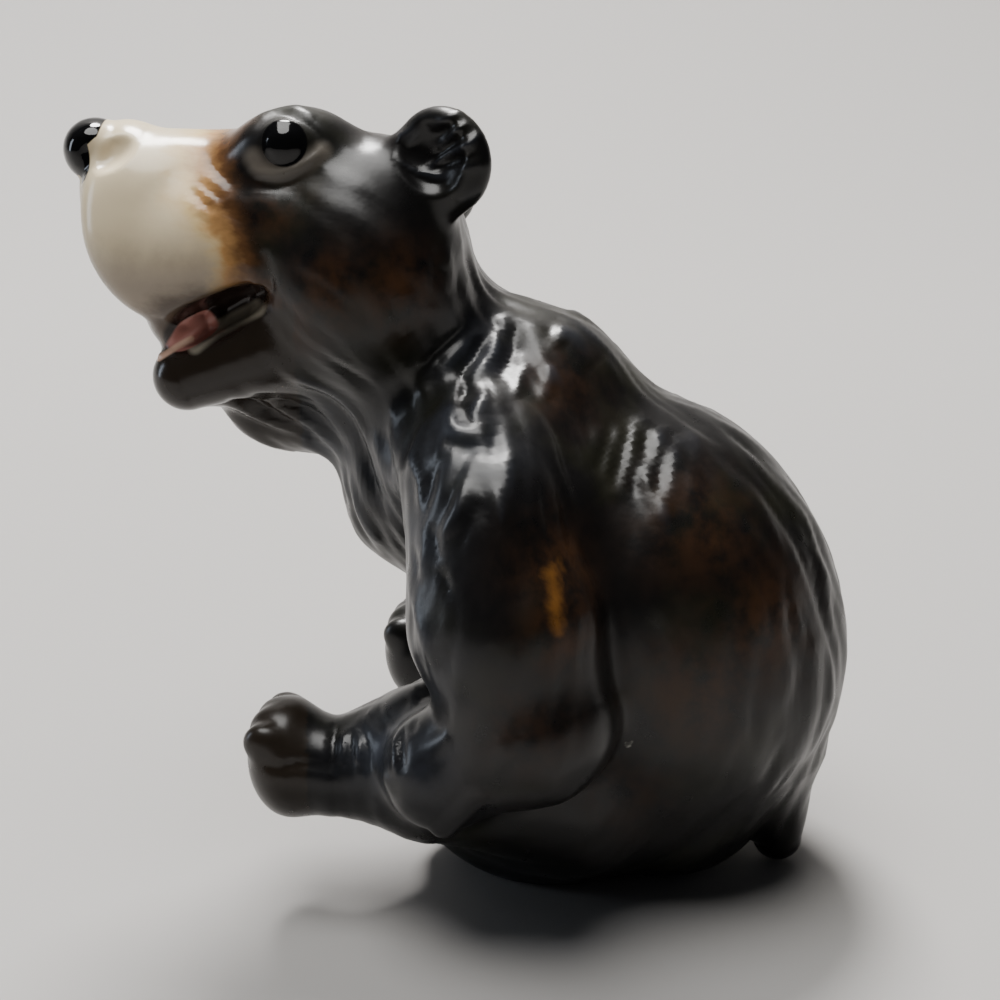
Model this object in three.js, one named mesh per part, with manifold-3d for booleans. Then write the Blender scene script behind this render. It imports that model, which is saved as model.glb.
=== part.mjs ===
// A seated bear with a raised, open-mouthed head: a glazed ceramic figurine, cast in one piece.
// Millimetres, +Z up. The bear faces -Y and its own left side is +X.
//
// The form is modelled as a sculptor builds it up in clay: eggs and tapered limbs are pressed
// together with soft fillets, and a few hollows are scooped out. Every shape gives the distance
// from a point to its surface, negative inside, and the skin is drawn where the whole is zero.

import * as THREE from 'three';
import { mergeVertices } from 'three/addons/utils/BufferGeometryUtils.js';
import Module from 'manifold-3d';

// Driving sizes
const HEAD = {
  at: [0, -12, 92], // centre of the skull
  turn: 17, // degrees the head looks round to its left
  roll: 16, // degrees the left side of the head is raised
};
const FAR_FOOT_BACK = 5.5; // the right foot is drawn back and lies lower than the left one
const FAR_FOOT_DROP = 5.5;
const TOES = 4;
const TOE_PITCH = 3.3;
const TOE_ARCH = 0.25; // how fast the row of toes drops away to its sides
const FINGERS = 4;
const FLOOR = 0;
const GROUND = [200, 200, 20]; // the block of ground that the underside is cut against
const GLAZE_COLOUR = 0x1d1a19;

// Spacing of the skin's mesh: fine at the head and the paws, wider over the smooth back
const MESH_LINES = {
  x: [[-42, 42, 2.85]],
  y: [[-58, 16, 2.5], [16, 61, 3.5]],
  z: [[-3, 38, 2.95], [38, 76, 3.5], [76, 116, 2.35]],
};

// A vertex of the skin slides to the surface in a few short steps
const SETTLE_ROUNDS = 3;
const LONGEST_STEP = 0.8;
const SLOPE_REACH = 0.2; // half the distance over which a slope is measured

// An egg has its centre at `at` and half sizes `size`; tilt, fan and lean turn it about X, Z and Y.
// A limb runs from one centre and radius to another. `fillet` is the width of the blend to the
// shapes before it, `paired` repeats it on the right side, and `hollow` scoops it out.
const BODY = {
  rump: { at: [0, 29.3, 33], size: [26, 27.6, 29.5], fillet: 8 },
  back: { at: [0, 26, 46], size: [23.5, 23.4, 23.5], tilt: -25, fillet: 8 },
  withers: { at: [0, 10, 61.5], size: [18, 16, 16.5], fillet: 10 },
  shoulderHump: { at: [0, 14, 71], size: [8, 8.5, 8.5], fillet: 8 },
  belly: { at: [0, 13, 36], size: [22, 15, 22], fillet: 8 },
  chest: { at: [0, -3.5, 55], size: [12.5, 13, 12.5], tilt: -25, fillet: 8 },
  seat: { at: [8.5, 14.5, 12.5], size: [12.5, 19, 15], paired: true, fillet: 7 },
  seatRear: { at: [5, 34, 12], size: [11, 12, 12], paired: true, fillet: 6 },
  seatMiddle: { at: [0, 18.5, 12], size: [10, 18, 13], fillet: 5 },
  neck: { from: [0, -12.5, 82], fromRadius: 12.5, to: [0, 2, 66], toRadius: 16, fillet: 8 },
  throatRuff: { at: [0, -21.5, 68], size: [9.5, 13, 9.6], tilt: -12, fillet: 6 },
  tail: { from: [0, 48, 9.5], fromRadius: 4.6, to: [0, 49.4, 3.8], toRadius: 3.6, fillet: 5 },
};

const THIGH = { from: [13, 20, 17], fromRadius: 14, to: [19.5, 3, 21], toRadius: 10.6, fillet: 6 };
const SHANK = { from: [21, 0, 21.3], fromRadius: 9.6, to: [24, -11, 20.8], toRadius: 7, fillet: 6 };
const FOOT = { at: [24.2, -17.6, 21.6], size: [7.8, 5.8, 8.6], tilt: -6, fillet: 3 };
const FIRST_TOE = { at: [19.4, -19.8, 26.7], size: [2, 2.8, 2.7], tilt: -30, fillet: 1.2 };

const ARM = {
  upperArm: { from: [18.5, 8.5, 62.5], fromRadius: 10.8, to: [26.5, 13.5, 47], toRadius: 12 },
  elbow: { from: [26.5, 14, 46], fromRadius: 11.8, to: [29, 18, 35], toRadius: 10.8, fillet: 5 },
  forearm: { from: [29.5, 17, 33], fromRadius: 10, to: [30.5, 7, 26.5], toRadius: 7.7, fillet: 4 },
  fist: { at: [31, 5.4, 26], size: [7, 7, 7.4], fillet: 3 },
};
const FIRST_FINGER = { knuckle: [35.4, 9, 33.4], tip: [34.6, 1.4, 26] };
const FINGER_SHIFT = { knuckle: [0.5, 1.1, -2], tip: [0.4, 2, -1.6] };
const FINGER_RADIUS = 2.1;
const FINGER_FILLET = 0.8;

const SKULL = {
  cranium: { at: [0, -2, -1.8], size: [16.5, 15.5, 13.8] },
  cheek: { at: [8.5, 0, -8.5], size: [10.3, 12.5, 12.5], paired: true, fillet: 6 },
  face: { at: [0, -14, -1.5], size: [12.5, 12, 12.5], fillet: 6 },
  bridge: { from: [0, -12, 1.8], fromRadius: 11, to: [0, -30.5, 5.6], toRadius: 7.9, fillet: 4 },
  upperLip: { at: [4.4, -28.6, -2], size: [6, 8.8, 11.6], tilt: -27, paired: true, fillet: 3 },
  lipCorner: { at: [6.6, -20.5, -4], size: [5.8, 8.5, 8.2], tilt: -10, paired: true, fillet: 4 },
  lowerJaw: {
    from: [5.5, -5, -13.5], fromRadius: 7.6, to: [1.8, -25, -20.3], toRadius: 4.7, paired: true, fillet: 3,
  },
  mouth: {
    at: [9.5, -26, -14.7], size: [6.5, 12.5, 2.5], tilt: -24, paired: true, hollow: true, fillet: 1.5,
  },
  innerLip: { at: [0, -26.6, -12.5], size: [4.2, 2.8, 5], tilt: -35, fillet: 2 },
  tongue: { at: [0, -22.5, -16], size: [5, 8.5, 2.2], tilt: -24, fillet: 1.5 },
  nose: { at: [0, -36.3, 10.4], size: [5.4, 4.5, 4.4], tilt: 20, fillet: 1.2 },
  brow: { at: [8, -9.6, 10], size: [6.2, 7.6, 5], tilt: -6, paired: true, fillet: 4 },
};
const EAR = { at: [14.6, 9.9, 6.9], size: [3.2, 7.2, 7.1], fan: -35, lean: 10 };
const EAR_BOWL = { at: [17.6, 7.8, 7.4], size: [3, 5.4, 5.4], fan: -35, lean: 10 };
const EAR_BOWL_FILLET = 1.2;
const EAR_FILLET = 4;
const EYE = { at: [11.8, -10.2, 10.2], size: [3.2, 3.3, 3.3], fillet: 0.4 };

const LEG_FILLET = 4;
const HEAD_FILLET = 6;
const ARM_CREASE = 2.5; // the arm lies against the flank in a narrow crease
const SHOULDER_FILLET = 8.5; // and runs softly into the withers above it
const CREASE_TOP = 50;
const SHOULDER_TOP = 66;

const radians = THREE.MathUtils.degToRad;

function turned(a, b, degrees) {
  const c = Math.cos(radians(degrees));
  const s = Math.sin(radians(degrees));
  return [c * a - s * b, s * a + c * b];
}

// Distance to an egg, its level value divided by how fast that value grows
function eggDistance(p, { at, size, tilt = 0, fan = 0, lean = 0 }) {
  let [x, y, z] = [p[0] - at[0], p[1] - at[1], p[2] - at[2]];
  [x, y] = turned(x, y, -fan);
  [y, z] = turned(y, z, tilt);
  [x, z] = turned(x, z, lean);
  const level = Math.hypot(x / size[0], y / size[1], z / size[2]);
  const growth = Math.hypot(x / size[0] ** 2, y / size[1] ** 2, z / size[2] ** 2);
  return level * (level - 1) / Math.max(growth, 1e-9);
}

// Distance to a straight limb whose radius runs evenly between its ends
function limbDistance(p, { from, fromRadius, to, toRadius }) {
  const along = to.map((value, axis) => value - from[axis]);
  const reach = p.map((value, axis) => value - from[axis]);
  const dot = reach.reduce((sum, value, axis) => sum + value * along[axis], 0);
  const lengthSquared = along.reduce((sum, value) => sum + value * value, 0);
  const t = THREE.MathUtils.clamp(dot / lengthSquared, 0, 1);
  const off = reach.map((value, axis) => value - t * along[axis]);
  return Math.hypot(...off) - (fromRadius + (toRadius - fromRadius) * t);
}

// The nearer of two distances, filled in softly where they are alike
function join(a, b, fillet) {
  const overlap = Math.max(fillet - Math.abs(a - b), 0);
  return Math.min(a, b) - overlap * overlap / (4 * fillet);
}

function scoop(a, b, fillet) {
  return -join(-a, b, fillet);
}

function shapeDistance(p, shape) {
  return shape.from ? limbDistance(p, shape) : eggDistance(p, shape);
}

function bothSides([x, y, z]) {
  return [Math.abs(x), y, z];
}

function assembled(p, shapes) {
  let distance = Infinity;
  for (const shape of Object.values(shapes)) {
    const here = shapeDistance(shape.paired ? bothSides(p) : p, shape);
    if (shape.hollow) distance = scoop(distance, here, shape.fillet);
    else distance = distance === Infinity ? here : join(distance, here, shape.fillet);
  }
  return distance;
}

function moved(shape, shift) {
  const by = (point) => point.map((value, axis) => value + shift[axis]);
  return shape.to ? { ...shape, to: by(shape.to) } : { ...shape, at: by(shape.at) };
}

// A hind leg stretched forward, its foot raised with the sole facing forward
function leg(back, drop) {
  const shift = [0, back, -drop];
  const shapes = { thigh: THIGH, shank: moved(SHANK, shift), foot: moved(FOOT, shift) };
  for (let toe = 0; toe < TOES; toe += 1) {
    const fromMiddle = toe - (TOES - 1) / 2;
    const arch = -TOE_ARCH * fromMiddle ** 2;
    shapes[`toe${toe}`] = moved(FIRST_TOE, [toe * TOE_PITCH, back, arch - drop]);
  }
  return shapes;
}

// An arm resting on the thigh, its paw curled with four finger ridges on the outer side
function arm() {
  const shapes = { ...ARM };
  for (let finger = 0; finger < FINGERS; finger += 1) {
    const shift = (end) => (value, axis) => value + finger * FINGER_SHIFT[end][axis];
    const place = (end) => FIRST_FINGER[end].map(shift(end));
    shapes[`finger${finger}`] = {
      from: place('knuckle'), fromRadius: FINGER_RADIUS, to: place('tip'), toRadius: FINGER_RADIUS,
      fillet: FINGER_FILLET,
    };
  }
  return shapes;
}

const LEFT_LEG = leg(0, 0);
const RIGHT_LEG = leg(FAR_FOOT_BACK, FAR_FOOT_DROP);
const ARM_SHAPES = arm();

// Axes of the turned and rolled head: its own left, rear and up
const headLeft = new THREE.Vector3(
  Math.cos(radians(HEAD.turn)) * Math.cos(radians(HEAD.roll)),
  Math.sin(radians(HEAD.turn)) * Math.cos(radians(HEAD.roll)),
  Math.sin(radians(HEAD.roll)),
);
const headRear = new THREE.Vector3(-Math.sin(radians(HEAD.turn)), Math.cos(radians(HEAD.turn)), 0);
const headUp = new THREE.Vector3().crossVectors(headLeft, headRear);

function head(p) {
  const reach = new THREE.Vector3(...p).sub(new THREE.Vector3(...HEAD.at));
  const h = [reach.dot(headLeft), reach.dot(headRear), reach.dot(headUp)];
  const side = bothSides(h);
  let distance = assembled(h, SKULL);
  const ear = scoop(eggDistance(side, EAR), eggDistance(side, EAR_BOWL), EAR_BOWL_FILLET);
  distance = join(distance, ear, EAR_FILLET);
  return join(distance, eggDistance(side, EYE), EYE.fillet);
}

function bear(p) {
  const legs = Math.min(assembled(p, LEFT_LEG), assembled([-p[0], p[1], p[2]], RIGHT_LEG));
  let distance = join(assembled(p, BODY), legs, LEG_FILLET);
  distance = join(distance, head(p), HEAD_FILLET);
  const rise = THREE.MathUtils.smoothstep(p[2], CREASE_TOP, SHOULDER_TOP);
  const armFillet = ARM_CREASE + (SHOULDER_FILLET - ARM_CREASE) * rise;
  return join(distance, assembled(bothSides(p), ARM_SHAPES), armFillet);
}

function meshLines(stretches) {
  const lines = [stretches[0][0]];
  for (const [start, end, spacing] of stretches) {
    const steps = Math.round((end - start) / spacing);
    for (let i = 1; i <= steps; i += 1) lines.push(start + (end - start) * i / steps);
  }
  return lines;
}

// The corners of a cell are numbered x + 2 y + 4 z
const CELL_EDGES = [];
const CELL_FACES = [];
for (let axis = 0; axis < 3; axis += 1) {
  const [u, v] = [1 << (axis + 1) % 3, 1 << (axis + 2) % 3];
  for (const foot of [0, u, u + v, v]) CELL_EDGES.push([foot, foot + (1 << axis)]);
  for (const base of [0, 1 << axis]) CELL_FACES.push([base, base + u, base + u + v, base + v]);
}
const edgeBetween = (a, b) => CELL_EDGES.findIndex((edge) => edge.includes(a) && edge.includes(b));

// Crossed edges of a cell, gathered into the separate sheets of skin that pass through it
function sheetsOf(inside) {
  const sheet = CELL_EDGES.map(([a, b], edge) => (inside[a] !== inside[b] ? edge : -1));
  const link = (a, b) => {
    const [keep, drop] = [sheet[a], sheet[b]];
    sheet.forEach((value, edge) => { if (value === drop) sheet[edge] = keep; });
  };
  for (const face of CELL_FACES) {
    const edges = face.map((corner, i) => edgeBetween(corner, face[(i + 1) % 4]));
    const crossed = edges.filter((edge) => sheet[edge] >= 0);
    if (crossed.length === 2) link(crossed[0], crossed[1]);
    if (crossed.length === 4) {
      face.forEach((corner, i) => { if (inside[corner]) link(edges[(i + 3) % 4], edges[i]); });
    }
  }
  return sheet;
}

// Slides a vertex along the slope of the form until it lies on the surface
function settled(point, form) {
  let p = point;
  for (let round = 0; round < SETTLE_ROUNDS; round += 1) {
    const slope = [0, 1, 2].map((axis) => {
      const ahead = p.map((v, i) => (i === axis ? v + SLOPE_REACH : v));
      const behind = p.map((v, i) => (i === axis ? v - SLOPE_REACH : v));
      return (form(ahead) - form(behind)) / (2 * SLOPE_REACH);
    });
    const steepness = Math.sqrt(slope.reduce((sum, v) => sum + v * v, 1e-6));
    const step = THREE.MathUtils.clamp(form(p) / steepness, -LONGEST_STEP, LONGEST_STEP);
    p = p.map((v, axis) => v - step * slope[axis] / steepness);
  }
  return p;
}

// The closed skin of a form: one vertex for each sheet in a cell, one quad across each crossed edge
function skinOf(form, lines) {
  const grid = [lines.x, lines.y, lines.z];
  const count = grid.map((axisLines) => axisLines.length);
  const stride = [1, count[0], count[0] * count[1]];
  const lineOf = (node, axis) => Math.floor(node / stride[axis]) % count[axis];
  const place = (node) => grid.map((axisLines, axis) => axisLines[lineOf(node, axis)]);
  const values = new Float64Array(count[0] * count[1] * count[2]);
  for (let node = 0; node < values.length; node += 1) values[node] = form(place(node));

  const corner = (cell, number) =>
    cell + (number & 1) * stride[0] + ((number >> 1) & 1) * stride[1] + (number >> 2) * stride[2];
  const inGrid = (node) => count.every((n, axis) => lineOf(node, axis) < n - 1);
  const vertices = [];
  const sheets = new Map();
  for (let cell = 0; cell < values.length; cell += 1) {
    if (!inGrid(cell)) continue;
    const inside = [0, 1, 2, 3, 4, 5, 6, 7].map((number) => values[corner(cell, number)] < 0);
    if (inside.every((value) => value === inside[0])) continue;
    const sheet = sheetsOf(inside);
    const vertexOf = new Map();
    for (const name of new Set(sheet.filter((value) => value >= 0))) {
      const middle = new THREE.Vector3();
      const members = CELL_EDGES.filter((edge, i) => sheet[i] === name);
      for (const [a, b] of members) {
        const [nodeA, nodeB] = [corner(cell, a), corner(cell, b)];
        const t = values[nodeA] / (values[nodeA] - values[nodeB]);
        middle.add(new THREE.Vector3(...place(nodeA)).lerp(new THREE.Vector3(...place(nodeB)), t));
      }
      vertexOf.set(name, vertices.length);
      vertices.push(settled(middle.divideScalar(members.length).toArray(), form));
    }
    sheets.set(cell, sheet.map((name) => vertexOf.get(name)));
  }

  const triangles = [];
  const gap = (a, b) => Math.hypot(...vertices[a].map((v, axis) => v - vertices[b][axis]));
  for (let axis = 0; axis < 3; axis += 1) {
    const [u, v] = [stride[(axis + 1) % 3], stride[(axis + 2) % 3]];
    for (let node = 0; node < values.length; node += 1) {
      const next = node + stride[axis];
      if (next >= values.length || (values[node] < 0) === (values[next] < 0)) continue;
      // The four cells round the edge see it as their edge number 4 axis + 2, 3, 0 and 1
      const ring = [[node - u - v, 2], [node - v, 3], [node, 0], [node - u, 1]];
      const quad = ring.map(([cell, edge]) => sheets.get(cell)[4 * axis + edge]);
      if (values[node] >= 0) quad.reverse();
      const [a, b, c, d] = quad;
      if (gap(a, c) < gap(b, d)) triangles.push(a, b, c, a, c, d);
      else triangles.push(a, b, d, b, c, d);
    }
  }
  return { vertices, triangles };
}

// Cuts off what lies below the floor, which leaves the flat underside that the figurine stands on
function standing(wasm, { vertices, triangles }) {
  const skin = new wasm.Manifold(new wasm.Mesh({
    numProp: 3,
    vertProperties: Float32Array.from(vertices.flat()),
    triVerts: Uint32Array.from(triangles),
  }));
  const ground = new THREE.BoxGeometry(...GROUND).translate(0, 0, FLOOR - GROUND[2] / 2);
  ground.deleteAttribute('normal');
  ground.deleteAttribute('uv');
  const merged = mergeVertices(ground);
  const slab = new wasm.Manifold(new wasm.Mesh({
    numProp: 3,
    vertProperties: Float32Array.from(merged.attributes.position.array),
    triVerts: Uint32Array.from(merged.index.array),
  }));
  return skin.subtract(slab).getMesh();
}

const wasm = await Module();
wasm.setup();

const skin = skinOf(bear, {
  x: meshLines(MESH_LINES.x),
  y: meshLines(MESH_LINES.y),
  z: meshLines(MESH_LINES.z),
});
const solid = standing(wasm, skin);

const geometry = new THREE.BufferGeometry();
geometry.setAttribute('position', new THREE.Float32BufferAttribute(solid.vertProperties, 3));
geometry.setIndex(new THREE.BufferAttribute(solid.triVerts, 1));

// The origin is on the floor under the middle of the figurine
geometry.computeBoundingBox();
const middle = geometry.boundingBox.getCenter(new THREE.Vector3());
geometry.translate(-middle.x, -middle.y, -FLOOR);
geometry.computeVertexNormals();

const glaze = new THREE.MeshStandardMaterial({ color: GLAZE_COLOUR, roughness: 0.22, metalness: 0 });
const figurine = new THREE.Mesh(geometry, glaze);
figurine.name = 'bear_figurine';

const model = new THREE.Group();
model.add(figurine);

export default model;
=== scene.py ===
"""A seated bear with a raised, open-mouthed head: a glazed ceramic figurine, cast in one piece.

The bear is pressed together from clay eggs and limbs, as a sculptor builds it up, and its fine skin is
carved with fur, fingers and toes and then painted and glazed. Sizes are in millimetres in the modelling
frame: the bear faces -Y, its own left side is +X and the floor is z = 0. The head's shapes are given in
the head's own frame, whose axes point to its left, its rear and its crown.
"""
import math

import bpy
import numpy as np
from mathutils import Matrix, Vector


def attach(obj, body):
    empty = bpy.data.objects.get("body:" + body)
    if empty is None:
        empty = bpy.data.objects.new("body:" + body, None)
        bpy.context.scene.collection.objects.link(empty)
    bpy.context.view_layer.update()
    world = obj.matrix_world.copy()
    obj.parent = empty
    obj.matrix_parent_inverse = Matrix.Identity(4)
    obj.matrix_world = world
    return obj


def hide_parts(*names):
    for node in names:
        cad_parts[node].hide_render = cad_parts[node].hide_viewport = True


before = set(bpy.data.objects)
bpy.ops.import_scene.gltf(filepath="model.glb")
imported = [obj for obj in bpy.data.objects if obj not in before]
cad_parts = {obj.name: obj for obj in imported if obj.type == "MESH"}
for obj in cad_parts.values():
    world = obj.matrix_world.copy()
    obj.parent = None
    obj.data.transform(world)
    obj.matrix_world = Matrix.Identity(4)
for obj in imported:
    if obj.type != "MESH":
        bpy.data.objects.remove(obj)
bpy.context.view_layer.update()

MM = 0.001
ROW_SHIFT = np.array([0.0, -2.544, 0.0])  # the frame's origin lies under the middle of the figurine

HEAD_AT = np.array([0.0, -12.0, 92.0])
HEAD_TURN = 17.0
HEAD_ROLL = 16.0
FAR_FOOT_BACK = 5.5
FAR_FOOT_DROP = 5.5
TOES = 4
TOE_PITCH = 3.3
TOE_ARCH = 0.25
FINGERS = 4

BODY = {
    "rump": dict(at=(0, 29.3, 33), size=(26, 27.6, 29.5)),
    "back": dict(at=(0, 26, 46), size=(23.5, 23.4, 23.5), tilt=-25, fillet=8),
    "withers": dict(at=(0, 10, 61.5), size=(18, 16, 16.5), fillet=10),
    "shoulder hump": dict(at=(0, 14, 71), size=(8, 8.5, 8.5), fillet=8),
    "belly": dict(at=(0, 13, 36), size=(22, 15, 22), fillet=8),
    "chest": dict(at=(0, -3.5, 55), size=(12.5, 13, 12.5), tilt=-25, fillet=8),
    "seat": dict(at=(8.5, 14.5, 12.5), size=(12.5, 19, 15), paired=True, fillet=7),
    "seat rear": dict(at=(5, 34, 12), size=(11, 12, 12), paired=True, fillet=6),
    "seat middle": dict(at=(0, 18.5, 12), size=(10, 18, 13), fillet=5),
    "neck": dict(ends=((0, -12.5, 82), (0, 2, 66)), radii=(12.5, 16), fillet=8),
    "throat ruff": dict(at=(0, -21.5, 68), size=(9.5, 13, 9.6), tilt=-12, fillet=6),
    "tail": dict(ends=((0, 46.6, 17), (0, 48.6, 3.7)), radii=(8, 3.6), fillet=4),
}
THIGH = dict(ends=((13, 20, 17), (19.5, 3, 21)), radii=(14, 10.6))
SHANK = dict(ends=((21, 0, 21.3), (24, -11, 20.8)), radii=(9.6, 7), fillet=6)
FOOT = dict(at=(24.2, -17.6, 21.6), size=(7.8, 5.8, 8.6), tilt=-6, fillet=3)
FIRST_TOE = dict(at=(19.4, -19.8, 26.7), size=(2, 2.8, 2.7), tilt=-30, fillet=1.2)
ARM = {
    "upper arm": dict(ends=((18.5, 8.5, 62.5), (26.5, 13.5, 47)), radii=(10.8, 12)),
    "deltoid": dict(at=(24, 11.5, 58), size=(11, 8.8, 11), fillet=5),
    "elbow": dict(ends=((26.5, 14, 46), (29, 18, 35)), radii=(11.8, 10.8), fillet=5),
    "forearm": dict(ends=((29.5, 17, 33), (30.5, 7, 26.5)), radii=(10, 7.7), fillet=4),
    "fist": dict(at=(31, 5.4, 26), size=(7, 7, 7.4), fillet=3),
}
FIRST_FINGER = ((35.4, 9, 33.4), (34.6, 1.4, 26))
FINGER_SHIFT = ((0.5, 1.1, -2), (0.4, 2, -1.6))
FINGER_RADIUS = 2.1
FINGER_FILLET = 0.8
SKULL = {
    "cranium": dict(at=(0, -2, -1.8), size=(16.5, 15.5, 13.8)),
    "temple": dict(at=(7, 0, 3), size=(8, 11, 8.2), paired=True, fillet=3),
    "cheek": dict(at=(8.5, 0, -8.5), size=(10.3, 12.5, 12.5), paired=True, fillet=6),
    "face": dict(at=(0, -14, -1.5), size=(12.5, 12, 12.5), fillet=6),
    "bridge": dict(ends=((0, -12, 1.8), (0, -30.5, 5.6)), radii=(11, 7.9), fillet=4),
    "upper lip": dict(at=(4.4, -28.6, -2), size=(6, 8.8, 11.6), tilt=-27, paired=True, fillet=3),
    "lip corner": dict(at=(6.6, -20.5, -4), size=(5.8, 8.5, 8.2), tilt=-10, paired=True, fillet=4),
    "lower jaw": dict(ends=((5.5, -5, -13.5), (1.8, -25, -20.3)), radii=(7.6, 4.7), paired=True, fillet=3),
    "mouth": dict(at=(9.8, -21.4, -13), size=(5.8, 8.9, 2.6), tilt=-28, paired=True, hollow=True,
                  fillet=1.6),
    "lip flap": dict(at=(0, -27.2, -13.2), size=(5.2, 2.7, 5), tilt=-32, fillet=1.6),
    "tongue": dict(at=(0, -24, -14.1), size=(5.6, 5.2, 2.4), tilt=-43, fillet=0.6),
    "tongue lobe": dict(at=(3.6, -23.8, -12.6), size=(2, 1.7, 1.9), paired=True, fillet=0.4),
    "rear lobe": dict(at=(3.4, -20.9, -11.9), size=(2, 1.5, 2.2), paired=True, fillet=0.4),
    "gum": dict(ends=((4.2, -24.4, -15.6), (3.4, -28, -17.6)), radii=(0.6, 0.7), paired=True, fillet=0.4),
    "nose bridge": dict(at=(0, -32.5, 9.5), size=(4.5, 4.8, 4.8), fillet=2.5),
    "nostril": dict(at=(8.6, -33.6, 10.3), size=(3.9, 4.6, 3), tilt=-38, paired=True, hollow=True,
                    fillet=0.6),
    "nose": dict(at=(0, -36.3, 10.4), size=(5.4, 4.5, 4.4), tilt=20, fillet=0.8),
    "brow": dict(at=(8, -9.6, 10), size=(6.2, 7.6, 5), tilt=-6, paired=True, fillet=4),
}
EAR = dict(at=(14.6, 9.9, 6.9), size=(3.2, 7.2, 7.1), fan=-35, lean=10)
EAR_BOWL = dict(at=(17.6, 7.8, 7.4), size=(3, 5.4, 5.4), fan=-35, lean=10)
EAR_BOWL_FILLET = 1.0
EAR_FILLET = 4.0
EYE = dict(at=(11.8, -10.2, 9.5), size=(3.2, 3.3, 3.3), fillet=0.25)
LEG_FILLET = 4.0
HEAD_FILLET = 6.0
ARM_CREASE = 3.5
SHOULDER_FILLET = 8.5
CREASE_TOP = 50.0
SHOULDER_TOP = 66.0

# Lines of the skin's mesh along each axis, as stretches of (start, end, spacing)
MESH_LINES = (
    ((-42, 42, 0.64),),
    ((-53, 10, 0.54), (10, 59, 0.8)),
    ((-1.2, 38, 0.7), (38, 74, 0.82), (74, 113, 0.5)),
)


def radians(degrees):
    return degrees * math.pi / 180.0


def turned(a, b, degrees):
    """The pair a, b turned in its own plane."""
    c = math.cos(radians(degrees))
    s = math.sin(radians(degrees))
    return c * a - s * b, s * a + c * b


def smooth(start, end, value):
    """A soft step from 0 at start to 1 at end."""
    t = np.clip((value - start) / (end - start), 0.0, 1.0)
    return t * t * (3.0 - 2.0 * t)


def hill(value, width):
    """A bell of height 1 round value = 0."""
    return np.exp(-(value / width) ** 2)


def egg(p, at, size, tilt=0.0, fan=0.0, lean=0.0):
    """Distance to an egg: its level value divided by how fast that value grows."""
    x, y, z = p[:, 0] - at[0], p[:, 1] - at[1], p[:, 2] - at[2]
    if fan:
        x, y = turned(x, y, -fan)
    if tilt:
        y, z = turned(y, z, tilt)
    if lean:
        x, z = turned(x, z, lean)
    level = np.sqrt((x / size[0]) ** 2 + (y / size[1]) ** 2 + (z / size[2]) ** 2)
    growth = np.sqrt((x / size[0] ** 2) ** 2 + (y / size[1] ** 2) ** 2 + (z / size[2] ** 2) ** 2)
    return level * (level - 1.0) / np.maximum(growth, 1e-9)


def limb(p, ends, radii):
    """Distance to a straight limb whose radius runs evenly between its ends."""
    start = np.array(ends[0], float)
    along = np.array(ends[1], float) - start
    t = np.clip((p - start) @ along / (along @ along), 0.0, 1.0)
    off = p - start - t[:, None] * along
    return np.sqrt((off * off).sum(1)) - (radii[0] + (radii[1] - radii[0]) * t)


def join(a, b, fillet):
    """The nearer of two distances, filled in softly where they are alike."""
    overlap = np.maximum(fillet - np.abs(a - b), 0.0)
    return np.minimum(a, b) - overlap * overlap / (4.0 * fillet)


def scoop(a, b, fillet):
    return -join(-a, b, fillet)


def both_sides(p):
    return p * np.sign(p[:, :1] + 1e-12) * (1, 0, 0) + p * (0, 1, 1)


def shape_distance(p, shape):
    if "ends" in shape:
        return limb(p, shape["ends"], shape["radii"])
    turns = {key: shape[key] for key in ("tilt", "fan", "lean") if key in shape}
    return egg(p, shape["at"], shape["size"], **turns)


def assembled(p, shapes):
    """All shapes of a table pressed together in their order."""
    side = both_sides(p)
    distance = None
    for shape in shapes.values():
        here = shape_distance(side if shape.get("paired") else p, shape)
        if distance is None:
            distance = here
        elif shape.get("hollow"):
            distance = scoop(distance, here, shape["fillet"])
        else:
            distance = join(distance, here, shape["fillet"])
    return distance


def moved(shape, shift):
    """A shape whose centre, or whose far end, is shifted."""
    shift = np.array(shift)
    if "ends" in shape:
        return dict(shape, ends=(shape["ends"][0], tuple(shape["ends"][1] + shift)))
    return dict(shape, at=tuple(shape["at"] + shift))


def leg(back, drop):
    """A hind leg stretched forward, its foot raised with the sole facing forward."""
    shapes = {"thigh": THIGH, "shank": moved(SHANK, (0, back, -drop)), "foot": moved(FOOT, (0, back, -drop))}
    for toe in range(TOES):
        arch = -TOE_ARCH * (toe - (TOES - 1) / 2.0) ** 2
        shapes[f"toe {toe}"] = moved(FIRST_TOE, (toe * TOE_PITCH, back, arch - drop))
    return shapes


def arm():
    """An arm resting on the thigh, its paw curled with finger ridges on the outer side."""
    shapes = dict(ARM)
    for finger in range(FINGERS):
        ends = tuple(tuple(np.add(end, np.multiply(finger, shift)))
                     for end, shift in zip(FIRST_FINGER, FINGER_SHIFT))
        shapes[f"finger {finger}"] = dict(ends=ends, radii=(FINGER_RADIUS, FINGER_RADIUS),
                                          fillet=FINGER_FILLET)
    return shapes


LEFT_LEG = leg(0.0, 0.0)
RIGHT_LEG = leg(FAR_FOOT_BACK, FAR_FOOT_DROP)
ARM_SHAPES = arm()


def head_axes():
    turn, roll = radians(HEAD_TURN), radians(HEAD_ROLL)
    left = np.array([math.cos(turn) * math.cos(roll), math.sin(turn) * math.cos(roll), math.sin(roll)])
    rear = np.array([-math.sin(turn), math.cos(turn), 0.0])
    return np.stack([left, rear, np.cross(left, rear)])


HEAD_AXES = head_axes()


def in_head(p):
    """Points in the head's own frame."""
    return (p - HEAD_AT) @ HEAD_AXES.T


def head(p):
    h = in_head(p)
    side = both_sides(h)
    ear = scoop(shape_distance(side, EAR), shape_distance(side, EAR_BOWL), EAR_BOWL_FILLET)
    distance = join(assembled(h, SKULL), ear, EAR_FILLET)
    return join(distance, shape_distance(side, EYE), EYE["fillet"])


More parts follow.
